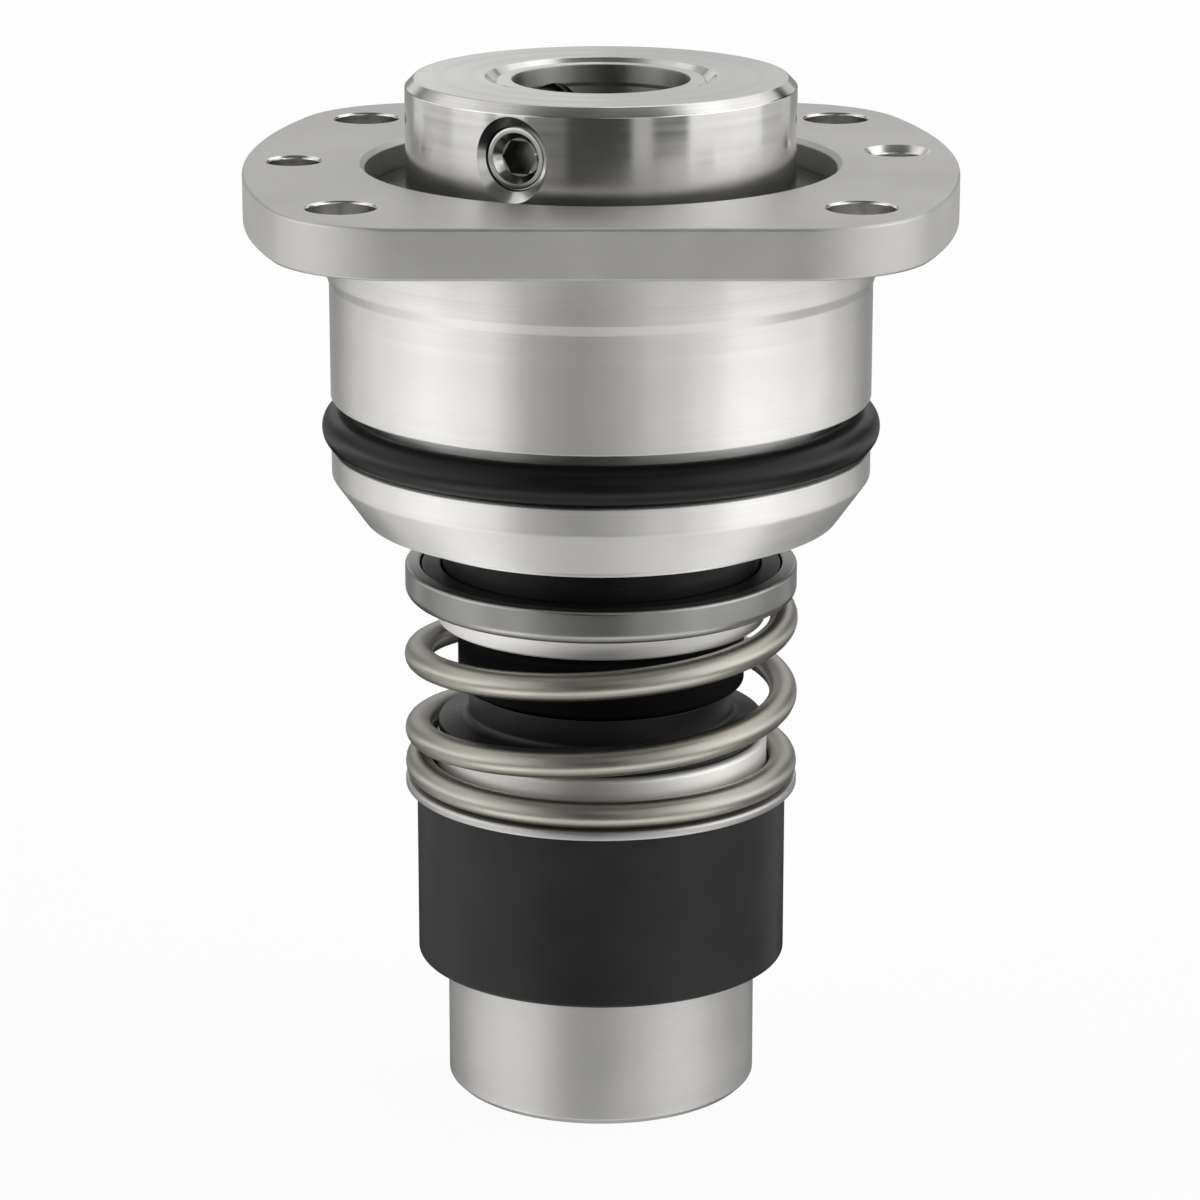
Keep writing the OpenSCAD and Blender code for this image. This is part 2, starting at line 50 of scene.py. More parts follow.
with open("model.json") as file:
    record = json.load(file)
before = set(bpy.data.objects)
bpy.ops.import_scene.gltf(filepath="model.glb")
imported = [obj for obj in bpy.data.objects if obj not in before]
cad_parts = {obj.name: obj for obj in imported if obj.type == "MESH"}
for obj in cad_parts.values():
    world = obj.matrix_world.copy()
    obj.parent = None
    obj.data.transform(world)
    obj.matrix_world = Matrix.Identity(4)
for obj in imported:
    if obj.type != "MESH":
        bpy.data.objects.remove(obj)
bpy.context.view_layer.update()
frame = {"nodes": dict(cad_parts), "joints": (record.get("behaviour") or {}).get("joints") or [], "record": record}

MM = 0.001
FULL_TURN = 2 * math.pi

# Clearance between pieces that fit in one another, and how far a cutter reaches past what it cuts
FIT = 0.05 * MM
PAST = 1 * MM
# Corners rounded less than this get few segments
FINE_CORNER = 0.3 * MM
# Half a thread's height and depth as shares of its pitch, and the plain lengths at its ends
THREAD_RISE, THREAD_DEPTH = 0.45, 0.6
THREAD_START, THREAD_END = 0.3 * MM, 1.2 * MM
# Points of the spring's wire in each turn, and the share of its rise that is eased at each end
WIRE_POINTS = 96
EASE = 0.06


def mount(name):
    """The record's mount of that name."""
    return next(m for m in frame["record"]["mounts"] if m["name"] == name)


def mount_radius(name):
    """Radius of a round mount, in metres."""
    return mount(name)["dims"]["r_mm"] * MM


def low_z(node):
    """Lowest level of a CAD node."""
    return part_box(node)[0].z


def high_z(node):
    """Highest level of a CAD node."""
    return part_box(node)[1].z


def outer_r(node):
    """Outer radius of a round CAD node."""
    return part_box(node)[1].x


def length_property(label, words, value):
    """A length that a user can change, in metres."""
    return bpy.props.FloatProperty(
        name=label, description=words, default=value, unit="LENGTH", precision=5
    )


def colour_property(label, words, value):
    """A colour that a user can change."""
    return bpy.props.FloatVectorProperty(
        name=label, description=words, default=value, subtype="COLOR", size=3, min=0, max=1
    )


class SealSizes(bpy.types.PropertyGroup):
    """Sizes of the turned, moulded and coiled pieces that the frame's boxes don't give."""

    steps: bpy.props.IntProperty(
        name="Turning steps", description="Steps round each turned piece",
        default=240, min=48, max=360,
    )
    edge: length_property("Edge break", "Radius of the broken edges on turned steel", 0.12 * MM)
    fine_edge: length_property("Fine edge", "Radius of the finest broken edges", 0.06 * MM)
    sleeve_r: length_property("Sleeve radius", "Radius of the sleeve along the seal", 15 * MM)
    spigot_r: length_property("Spigot radius", "Radius of the sleeve's upper end", 13.3 * MM)
    foot_chamfer: length_property("Foot chamfer", "Chamfer on the sleeve's foot", 0.8 * MM)
    spigot_chamfer: length_property("Spigot chamfer", "Chamfer on the sleeve's end", 0.45 * MM)
    upper_land: length_property("Upper land", "Length of the upper land in the bore", 2.3 * MM)
    lower_land: length_property("Lower land", "Length of the lower land in the bore", 38 * MM)
    relief: length_property("Relief", "Depth of the relief in the bore", 0.5 * MM)
    collar_chamfer: length_property("Collar chamfer", "Chamfer on the collar's top", 1.15 * MM)
    collar_mouth: length_property("Collar mouth", "Countersink at the collar's bore", 1.05 * MM)
    screw_r: length_property("Screw radius", "Radius of the set screws' holes", 4 * MM)
    screw_mouth: length_property("Screw mouth", "Countersink round each screw", 1.25 * MM)
    thread_pitch: length_property("Thread pitch", "Pitch of the set screws' thread", 1.25 * MM)
    socket_flats: length_property("Socket flats", "Width across the flats of the socket", 4 * MM)
    socket_depth: length_property("Socket depth", "Depth of the hexagon socket", 4 * MM)
    lead_r: length_property("Socket lead", "Radius of the wide bevel round the socket", 3.15 * MM)
    tail_bore: length_property("Tail bore", "Inner radius of the bellows tail", 15.05 * MM)
    neck_wall: length_property("Neck wall", "Thickness of the rubber at the neck", 2 * MM)
    neck_height: length_property("Neck height", "Height of the bellows neck", 4.6 * MM)
    rim_lift: length_property("Rim lift", "Height of the rim over the lower retainer", 0.6 * MM)
    rim_height: length_property("Rim height", "Height of the bellows rim", 1.3 * MM)
    roll_out: length_property("Roll width", "Width of the rolled part past the neck", 1.3 * MM)
    roll_wall: length_property("Roll wall", "Thickness of the rubber in the roll", 1.4 * MM)
    cup_lift: length_property("Cup lift", "Height of the cup's floor over the spring", 1.15 * MM)
    leg_wall: length_property("Leg wall", "Wall thickness of both retainers' legs", 0.9 * MM)
    band_wall: length_property("Band wall", "Wall of the upper retainer's band", 1.9 * MM)
    pilot_taper: length_property("Pilot taper", "Narrowing of the pilot towards its foot", 0.4 * MM)
    wire_r: length_property("Wire radius", "Radius of the spring's wire", 1.78 * MM)
    spring_gap: length_property("Spring gap", "Gap between the spring and the retainers", 0.3 * MM)
    spring_start: bpy.props.FloatProperty(
        name="Spring start", description="Angle at which the spring's wire starts",
        default=math.radians(20), subtype="ANGLE",
    )
    closed_turns: bpy.props.FloatProperty(
        name="Closed turns", description="Closed turns at the spring's lower end", default=0.94
    )
    rise_turns: bpy.props.FloatProperty(
        name="Rising turns", description="Open, rising turns of the spring", default=2.2
    )
    flat_turns: bpy.props.FloatProperty(
        name="Flat turns", description="Flat turns at the spring's upper end", default=0.22
    )
    face_gap: length_property("Face gap", "Gap between the face ring and the sleeve", 0.8 * MM)
    nose_r: length_property("Nose radius", "Outer radius of the face ring's nose", 19 * MM)
    nose_height: length_property("Nose height", "Height of the face ring's nose", 1.2 * MM)
    hub_r: length_property("Hub radius", "Radius of the gland's hub", 34.1 * MM)
    register_r: length_property("Register radius", "Radius of the hub's register", 34.5 * MM)
    register_height: length_property("Register height", "Height of the hub's register", 7.3 * MM)
    groove_height: length_property("Groove height", "Height of the hub's O-ring groove", 6.5 * MM)
    bevel_width: length_property("Bevel width", "Width of the hub's long bevel", 4 * MM)
    bevel_height: length_property("Bevel height", "Height of the hub's long bevel", 5.6 * MM)
    lip_r: length_property("Lip radius", "Radius of the lip at the hub's foot", 26.1 * MM)
    lip_height: length_property("Lip height", "Height of the lip at the hub's foot", 1.6 * MM)
    gland_bore: length_property("Gland bore", "Radius of the gland's bore", 18 * MM)
    recess_chamfer: length_property("Recess chamfer", "Chamfer round the recess", 0.6 * MM)
    side_r: length_property("Side radius", "Radius of the flange's bowed sides", 95 * MM)
    corner_r: length_property("Corner radius", "Radius of the flange's corners", 16.5 * MM)
    plate_chamfer: length_property("Plate chamfer", "Chamfer round the flange", 0.4 * MM)


class SealColours(bpy.types.PropertyGroup):
    """Colours of the seal's materials."""

    steel: colour_property("Steel", "Turned stainless steel", (0.63, 0.625, 0.61))
    spring: colour_property("Spring steel", "Satin wire of the spring", (0.385, 0.37, 0.338))
    rubber: colour_property("O-ring rubber", "Black moulded rubber", (0.004, 0.004, 0.0045))
    bellows: colour_property("Bellows rubber", "Dark grey moulded rubber", (0.0135, 0.0135, 0.0145))
    carbon: colour_property("Carbon", "Carbon of the face ring", (0.008, 0.008, 0.0085))


def sizes():
    """The sizes set in the scene."""
    return bpy.context.scene.seal_sizes


def colours():
    """The colours set in the scene."""
    return bpy.context.scene.seal_colours


# Mesh helpers


def profile(mesh, outline):
    """Closed wire in the XZ plane from (radius, level, rounding) corners."""
    verts = [mesh.verts.new((corner[0], 0, corner[1])) for corner in outline]
    for a, b in zip(verts, verts[1:] + verts[:1]):
        mesh.edges.new((a, b))
    rounded = {}
    for vert, corner in zip(verts, outline):
        if len(corner) > 2:
            rounded.setdefault(corner[2], []).append(vert)
    for size, corners in rounded.items():
        bmesh.ops.bevel(
            mesh, geom=corners, offset=size, offset_type="OFFSET",
            segments=4 if size < FINE_CORNER else 10, profile=0.5, affect="VERTICES",
            material=-1, clamp_overlap=True,
        )


def revolve(mesh, steps):
    """Spins the mesh's wire into a closed shell about Z, with its normals outwards."""
    bmesh.ops.spin(
        mesh, geom=mesh.verts[:] + mesh.edges[:], cent=(0, 0, 0), axis=(0, 0, 1),
        angle=FULL_TURN, steps=steps, use_merge=True, use_duplicate=False,
    )
    bmesh.ops.remove_doubles(mesh, verts=mesh.verts[:], dist=0.0005 * MM)
    bmesh.ops.recalc_face_normals(mesh, faces=mesh.faces[:])


def turned(outline, steps=None):
    """A bmesh turned about Z from a closed outline of (radius, level, rounding) corners."""
    mesh = bmesh.new()
    profile(mesh, outline)
    revolve(mesh, steps or sizes().steps)
    return mesh


def piece(name, mesh, sharp=28):
    """Object made from a bmesh, smooth but for edges over a given angle."""
    for face in mesh.faces:
        face.smooth = True
    for edge in mesh.edges:
        if len(edge.link_faces) == 2:
            edge.smooth = edge.calc_face_angle() < math.radians(sharp)
    data = bpy.data.meshes.new(name)
    mesh.to_mesh(data)
    mesh.free()
    made = bpy.data.objects.new(name, data)
    bpy.context.scene.collection.objects.link(made)
    return made


def cut(target, cutters, operation="DIFFERENCE"):
    """Applies boolean cuts to a piece and removes the cutters."""
    for cutter in cutters:
        step = target.modifiers.new("cut", "BOOLEAN")
        step.operation = operation
        step.solver = "EXACT"
        step.object = cutter
    depsgraph = bpy.context.evaluated_depsgraph_get()
    depsgraph.update()
    fresh = bpy.data.meshes.new_from_object(target.evaluated_get(depsgraph))
    target.modifiers.clear()
    target.data = fresh
    for cutter in cutters:
        bpy.data.objects.remove(cutter)


def tidy_cut(target, sharp=28):
    """Smooths a cut piece again: merges stray points and marks its sharp edges."""
    mesh = bmesh.new()
    mesh.from_mesh(target.data)
    bmesh.ops.remove_doubles(mesh, verts=mesh.verts[:], dist=0.002 * MM)
    bmesh.ops.dissolve_degenerate(mesh, edges=mesh.edges[:], dist=0.001 * MM)
    for face in mesh.faces:
        face.smooth = True
    for edge in mesh.edges:
        edge.smooth = len(edge.link_faces) == 2 and edge.calc_face_angle() < math.radians(sharp)
    mesh.to_mesh(target.data)
    mesh.free()


def weigh_normals(target):
    """Lets the large flat faces set the normals at their broken edges."""
    step = target.modifiers.new("normals", "WEIGHTED_NORMAL")
    step.mode = "FACE_AREA"
    step.weight = 100
    step.keep_sharp = True


def screw_frames():
    """Each set screw's node name, with the matrix that takes +X at the origin to its axis."""
    found = []
    for joint in frame["joints"]:
        if joint["name"].startswith("screw_"):
            turn = math.atan2(joint["axis"][1], joint["axis"][0])
            node = "set_" + joint["child"]
            low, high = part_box(node)
            lift = Matrix.Translation((0, 0, (low.z + high.z) / 2))
            found.append((node, lift @ Matrix.Rotation(turn, 4, "Z")))
    return found


def bar(name, outline, placing, steps=64):
    """Turned cutter or pin, made along Z and laid along +X of a placing matrix."""
    mesh = turned(outline, steps)
    laid = placing @ Matrix.Rotation(math.pi / 2, 4, "Y")
    bmesh.ops.transform(mesh, matrix=laid, verts=mesh.verts[:])
    return piece(name, mesh)


def finish(made, body, surfaces, nodes):
    """Gives a piece its surfaces and body, and hides the CAD nodes that it stands for."""
    for name in surfaces:
        made.data.materials.append(surface(name))
    weigh_normals(made)
    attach(made, body)
    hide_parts(*nodes)


# Material helpers


def new_material(name):
    """Node material with an empty shader: the material, its tree and the shader."""
    made = bpy.data.materials.new(name)
    made.use_nodes = True
    tree = made.node_tree
    tree.nodes.clear()
    output = tree.nodes.new("ShaderNodeOutputMaterial")
    shader = tree.nodes.new("ShaderNodeBsdfPrincipled")
    tree.links.new(shader.outputs["BSDF"], output.inputs["Surface"])
    return made, tree, shader


def sum_node(tree, kind, operation, values):
    """Output of a node of a kind that works on sockets or plain values."""
    node = tree.nodes.new(kind)
    node.operation = operation
    for socket, value in zip(node.inputs, values):
        if isinstance(value, bpy.types.NodeSocket):
            tree.links.new(value, socket)
        else:
            socket.default_value = value
    return node.outputs[0]


def maths(tree, operation, *values):
    """Math node on sockets or numbers."""
    return sum_node(tree, "ShaderNodeMath", operation, values)


def vector_maths(tree, operation, *values):
    """Vector Math node on sockets or vectors."""
    return sum_node(tree, "ShaderNodeVectorMath", operation, values)


def object_coordinates(tree):
    """Socket with the piece's own coordinates."""
    return tree.nodes.new("ShaderNodeTexCoord").outputs["Object"]


def turning_coordinates(tree, place):
    """Coordinates (radius, 0, level), which are the same all the way round a turned piece."""
    split = tree.nodes.new("ShaderNodeSeparateXYZ")
    tree.links.new(place, split.inputs[0])
    squares = [maths(tree, "POWER", side, 2) for side in split.outputs[:2]]
    join = tree.nodes.new("ShaderNodeCombineXYZ")
    tree.links.new(maths(tree, "SQRT", maths(tree, "ADD", *squares)), join.inputs[0])
    tree.links.new(split.outputs[2], join.inputs[2])
    return join.outputs[0]


def noise(tree, vector, scale, detail=2, roughness=0.5):
    """Noise texture's value."""
    node = tree.nodes.new("ShaderNodeTexNoise")
    node.inputs["Scale"].default_value = scale
    node.inputs["Detail"].default_value = detail
    node.inputs["Roughness"].default_value = roughness
    tree.links.new(vector, node.inputs["Vector"])
    return node.outputs["Fac"]


def spread(tree, value, low, high, start=0.3, end=0.7):
    """Maps a texture's value from the stretch start..end to low..high."""
    node = tree.nodes.new("ShaderNodeMapRange")
    node.inputs["From Min"].default_value = start
    node.inputs["From Max"].default_value = end
    node.inputs["To Min"].default_value = low
    node.inputs["To Max"].default_value = high
    tree.links.new(value, node.inputs["Value"])
    return node.outputs[0]


def tinted(tree, colour, factor):
    """Colour multiplied by a socket's value."""
    return vector_maths(tree, "MULTIPLY", factor, tuple(colour))


def bump(tree, height, strength, distance):
    """Bump node's normal."""
    node = tree.nodes.new("ShaderNodeBump")
    node.inputs["Strength"].default_value = strength
    node.inputs["Distance"].default_value = distance
    tree.links.new(height, node.inputs["Height"])
    return node.outputs[0]


def wavering(tree, grain, cloud, change, middle, below, above):
    """A value clouded round its middle, which a finer texture changes a little more."""
    clouded = spread(tree, cloud, middle - below, middle + above)
    return maths(tree, "ADD", spread(tree, grain, *change), clouded)


def turned_steel(name, colour, roughness, anisotropy, groove=0.12, stain=0.05):
    """Steel with a lathe's fine circular marks, which draw its reflections out along the axis."""
    made, tree, shader = new_material(name)
    place = object_coordinates(tree)
    ring = turning_coordinates(tree, place)
    fine = noise(tree, ring, scale=5200, detail=3, roughness=0.65)
    broad = noise(tree, ring, scale=900)
    cloud = noise(tree, place, scale=90, detail=3)
    shade = wavering(tree, fine, cloud, (-0.03, 0.03), 1, stain, stain)
    tree.links.new(tinted(tree, colour, shade), shader.inputs["Base Color"])
    rough = wavering(tree, broad, cloud, (-0.02, 0.03), roughness, 0.02, 0.03)
    tree.links.new(rough, shader.inputs["Roughness"])
    tree.links.new(bump(tree, fine, groove, 0.004 * MM), shader.inputs["Normal"])
    shader.inputs["Metallic"].default_value = 1
    shader.inputs["Anisotropic"].default_value = anisotropy
    to_world = tree.nodes.new("ShaderNodeVectorTransform")
    to_world.vector_type = "VECTOR"
    to_world.convert_from = "OBJECT"
    to_world.convert_to = "WORLD"
    around = vector_maths(tree, "CROSS_PRODUCT", (0, 0, 1), place)
    tree.links.new(around, to_world.inputs[0])
    normal = tree.nodes.new("ShaderNodeNewGeometry").outputs["Normal"]
    along = vector_maths(tree, "CROSS_PRODUCT", normal, to_world.outputs[0])
    tree.links.new(vector_maths(tree, "NORMALIZE", along), shader.inputs["Tangent"])
    return made


def satin_steel(name, colour, roughness, grain=0.1, stain=0.06):
    """Steel with an even satin grain and faint clouding."""
    made, tree, shader = new_material(name)
    place = object_coordinates(tree)
    fine = noise(tree, place, scale=6500, detail=3, roughness=0.7)
    cloud = noise(tree, place, scale=70, detail=4, roughness=0.6)
    patch = noise(tree, place, scale=22)
    shade = wavering(tree, fine, cloud, (-0.03, 0.03), 1, stain, stain)
    tree.links.new(tinted(tree, colour, shade), shader.inputs["Base Color"])
    rough = wavering(tree, patch, cloud, (-0.03, 0.03), roughness, 0.03, 0.03)
    tree.links.new(rough, shader.inputs["Roughness"])
    tree.links.new(bump(tree, fine, grain, 0.006 * MM), shader.inputs["Normal"])
    shader.inputs["Metallic"].default_value = 1
    return made


def moulded_rubber(name, colour, roughness, gloss, grain=0.15):
    """Black rubber or carbon with a fine moulded grain and faint bloom."""
    made, tree, shader = new_material(name)
    place = object_coordinates(tree)
    fine = noise(tree, place, scale=4200, detail=3, roughness=0.6)
    bloom = noise(tree, place, scale=110, detail=4, roughness=0.6)
    shade = spread(tree, bloom, 0.85, 1.2)
    tree.links.new(tinted(tree, colour, shade), shader.inputs["Base Color"])
    rough = wavering(tree, fine, bloom, (-0.04, 0.04), roughness, 0.04, 0.05)
    tree.links.new(rough, shader.inputs["Roughness"])
    tree.links.new(bump(tree, fine, grain, 0.01 * MM), shader.inputs["Normal"])
    shader.inputs["Specular IOR Level"].default_value = gloss
    return made


# Each surface: its maker, its colour and the share of it, and the maker's other values. For the
# steel, the share makes lighter and darker copies of the same steel, one for each part, to give
# each part the tone of the light and shade it takes: a share over 1 is painted light, one under 1
# painted shade.
SURFACES = {
    "hub_steel": (turned_steel, "steel", 1.28, {"roughness": 0.42, "anisotropy": 0.95}),
    "foot_steel": (
        turned_steel, "steel", 0.88,
        {"roughness": 0.42, "anisotropy": 0.3, "groove": 0.1, "stain": 0.04},
    ),
    "collar_steel": (
        turned_steel, "steel", 1,
        {"roughness": 0.16, "anisotropy": 0.75, "groove": 0.05, "stain": 0.03},
    ),
    "bore_steel": (
        turned_steel, "steel", 0.6,
        {"roughness": 0.4, "anisotropy": 0.95, "groove": 0.08, "stain": 0.04},
    ),
    "band_steel": (
        turned_steel, "steel", 0.52,
        {"roughness": 0.3, "anisotropy": 0.5, "groove": 0.08, "stain": 0.04},
    ),
    "leg_steel": (
        turned_steel, "steel", 1.45,
        {"roughness": 0.56, "anisotropy": 0.5, "groove": 0.08, "stain": 0.04},
    ),
    "ring_steel": (
        turned_steel, "steel", 0.8,
        {"roughness": 0.4, "anisotropy": 0.3, "groove": 0.08, "stain": 0.04},
    ),
    "plate_steel": (satin_steel, "steel", 0.86, {"roughness": 0.46}),
    "rim_steel": (satin_steel, "steel", 0.9, {"roughness": 0.55}),
    "hole_steel": (satin_steel, "steel", 1.1, {"roughness": 0.2}),
    "wire_steel": (satin_steel, "spring", 1, {"roughness": 0.38}),
    "screw_steel": (
        satin_steel, "steel", 0.9, {"roughness": 0.17, "grain": 0.05, "stain": 0.05}
    ),
    "socket_steel": (satin_steel, "steel", 0.35, {"roughness": 0.38}),
    "ring_rubber": (moulded_rubber, "rubber", 1, {"roughness": 0.34, "gloss": 0.24}),
    "bellows_rubber": (moulded_rubber, "bellows", 1, {"roughness": 0.36, "gloss": 0.3}),
    # The neck's rubber is the bellows' colour at a quarter, and duller: painted shade on the rolled part under the
    # band and the spring.
    "neck_rubber": (moulded_rubber, "bellows", 0.25, {"roughness": 0.5, "gloss": 0.04}),
    "face_carbon": (
        moulded_rubber, "carbon", 1, {"roughness": 0.3, "gloss": 0.25, "grain": 0.02}
    ),
}


def surface(name):
    """A surface's material, made once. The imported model's own materials have other names."""
    made = bpy.data.materials.get(name + "_finish")
    if made is None:
        maker, colour, share, values = SURFACES[name]
        base = tuple(min(1, value * share) for value in getattr(colours(), colour))
        made = maker(name + "_finish", base, **values)
    return made


# Pieces


class SEAL_OT_sleeve(bpy.types.Operator):
    """Turns the stepped shaft sleeve with its relieved bore and its set screw holes."""

    bl_idname = "mesh.seal_sleeve"
    bl_label = "Shaft sleeve"

    def execute(self, context):
        size = sizes()
        bore = mount_radius("shaft_bore")
        foot_r = outer_r("shaft_sleeve")
        step = low_z("bellows")
        shoulder = low_z("drive_collar")
        top = high_z("shaft_sleeve")
        ring_low, ring_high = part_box("sleeve_o_ring")
        groove_r = ring_high.x + FIT
        slack = 0.175 * (ring_high.z - ring_low.z)  # room for the O-ring at each side
        relief = bore + size.relief
        outline = [
            # Foot and shoulder
            (bore, 0, 0.3 * MM), (foot_r - size.foot_chamfer, 0, 0.15 * MM),
            (foot_r, size.foot_chamfer, 0.15 * MM), (foot_r, step, size.edge),
            # Middle and the reduced end in the collar
            (size.sleeve_r, step), (size.sleeve_r, shoulder), (size.spigot_r, shoulder),
            (size.spigot_r, top - size.spigot_chamfer, size.fine_edge),
            (size.spigot_r - size.spigot_chamfer, top, size.edge),
            # Bore with its two lands, the relief between them and the O-ring's groove
            (bore, top, 0.15 * MM),
            (bore, top - size.upper_land, size.edge), (relief, top - size.upper_land - size.relief),
            (relief, size.lower_land + size.relief), (bore, size.lower_land),
            (bore, ring_high.z + slack), (groove_r, ring_high.z + slack),
            (groove_r, ring_low.z - slack), (bore, ring_low.z - slack),
        ]
        made = piece("sleeve", turned(outline))
        way = size.screw_r + 0.2 * MM
        holes = [
            bar("way", [(0, 0), (way, 0), (way, size.sleeve_r), (0, size.sleeve_r)], placing)
            for _, placing in screw_frames()
        ]
        cut(made, holes)
        tidy_cut(made)
        surfaces = ["collar_steel", "foot_steel", "bore_steel"]
        # The bore's faces take a darker copy of the steel: painted shade inside the bore.
        for face in made.data.polygons:
            inside = math.hypot(face.center.x, face.center.y) < relief + 0.1 * MM
            outside = "foot_steel" if face.center.z < step else "collar_steel"
            face.material_index = surfaces.index("bore_steel" if inside else outside)
        finish(made, "rotor", surfaces, ["shaft_sleeve"])
        return {"FINISHED"}


class SEAL_OT_collar(bpy.types.Operator):
    """Turns the drive collar and drills its countersunk screw holes."""

    bl_idname = "mesh.seal_collar"
    bl_label = "Drive collar"

    def execute(self, context):
        size = sizes()
        low, high = low_z("drive_collar"), high_z("drive_collar")
        outer = outer_r("drive_collar")
        bore = size.spigot_r + FIT
        chamfer = size.collar_chamfer
        outline = [
            (bore, low), (outer, low, 0.3 * MM), (outer, high - chamfer, size.edge),
            (outer - chamfer, high, size.edge), (bore + size.collar_mouth, high, size.fine_edge),
            (bore, high - size.collar_mouth),
        ]
        made = piece("collar", turned(outline))
        reach = outer + PAST
        mouth = size.screw_mouth + PAST
        hole = [
            (0, 0), (size.screw_r, 0), (size.screw_r, reach - mouth), (size.screw_r + mouth, reach),
            (0, reach),
        ]
        cut(made, [bar("hole", hole, placing, 96) for _, placing in screw_frames()])
        tidy_cut(made)
        rim_r = size.screw_r + size.screw_mouth
        for _, placing in screw_frames():
            inward = placing.inverted()
            axis = (placing.to_3x3() @ Vector((1, 0, 0))).normalized()
            for face in made.data.polygons:
                at = inward @ face.center
                near = at.x > bore and math.hypot(at.y, at.z) < rim_r
                if near and abs(face.normal.dot(axis)) < 0.9:
                    face.material_index = 1
        finish(made, "rotor", ["collar_steel", "hole_steel"], ["drive_collar"])
        return {"FINISHED"}


class SEAL_OT_set_screws(bpy.types.Operator):
    """Makes the set screws with their threads, hexagon sockets and cup tips."""

    bl_idname = "mesh.seal_set_screws"
    bl_label = "Set screws"

    def execute(self, context):
        size = sizes()
        radius = size.screw_r - FIT
        root = radius - THREAD_DEPTH * size.thread_pitch
        half_thread = THREAD_RISE * size.thread_pitch
        corner = size.socket_flats / 2 / math.cos(math.pi / 6)
        for node, placing in screw_frames():
            inward = placing.inverted()
            along = [(inward @ vertex.co).x for vertex in frame["nodes"][node].data.vertices]
            tip, end = min(along), max(along)
            outline = [(0, tip + radius / 4), (radius / 2, tip, size.edge), (root, tip)]
            turns = int((end - tip - THREAD_END) / size.thread_pitch)
            for i in range(turns):
                level = tip + THREAD_START + i * size.thread_pitch
                outline += [(root, level), (radius, level + half_thread, size.fine_edge)]
            last = tip + THREAD_START + turns * size.thread_pitch
            outline += [(root, last), (radius, last + half_thread)]
            outline += [(radius, end, 0.5 * MM), (0, end)]
            # Cut while it lies along X, and put in its place afterwards
            straight = Matrix.Identity(4)
            made = bar(node.replace("set_", "grub_"), outline, straight, 96)
            socket = bmesh.new()
            base = Matrix.Translation((end - size.socket_depth / 2 + PAST / 2, 0, 0))
            bmesh.ops.create_cone(
                socket, cap_ends=True, segments=6, radius1=corner, radius2=corner,
                depth=size.socket_depth + PAST, matrix=base @ Matrix.Rotation(math.pi / 2, 4, "Y"),
            )
            lead_foot = end - 1 * MM
            lead = [
                (0, lead_foot), (corner, lead_foot), (size.lead_r, end, size.edge),
                (size.lead_r, end + PAST), (0, end + PAST),
            ]
            cut(made, [piece("socket", socket), bar("lead", lead, straight)])
            tidy_cut(made)
            # The socket's walls take a much darker copy of the steel: painted shade inside the socket.
            for face in made.data.polygons:
                at = face.center
                if math.hypot(at.y, at.z) < corner and tip + 1 * MM < at.x < lead_foot:
                    face.material_index = 1
            made.data.transform(placing)
            body = node.replace("set_", "")
            finish(made, body, ["screw_steel", "socket_steel"], [node])
        return {"FINISHED"}


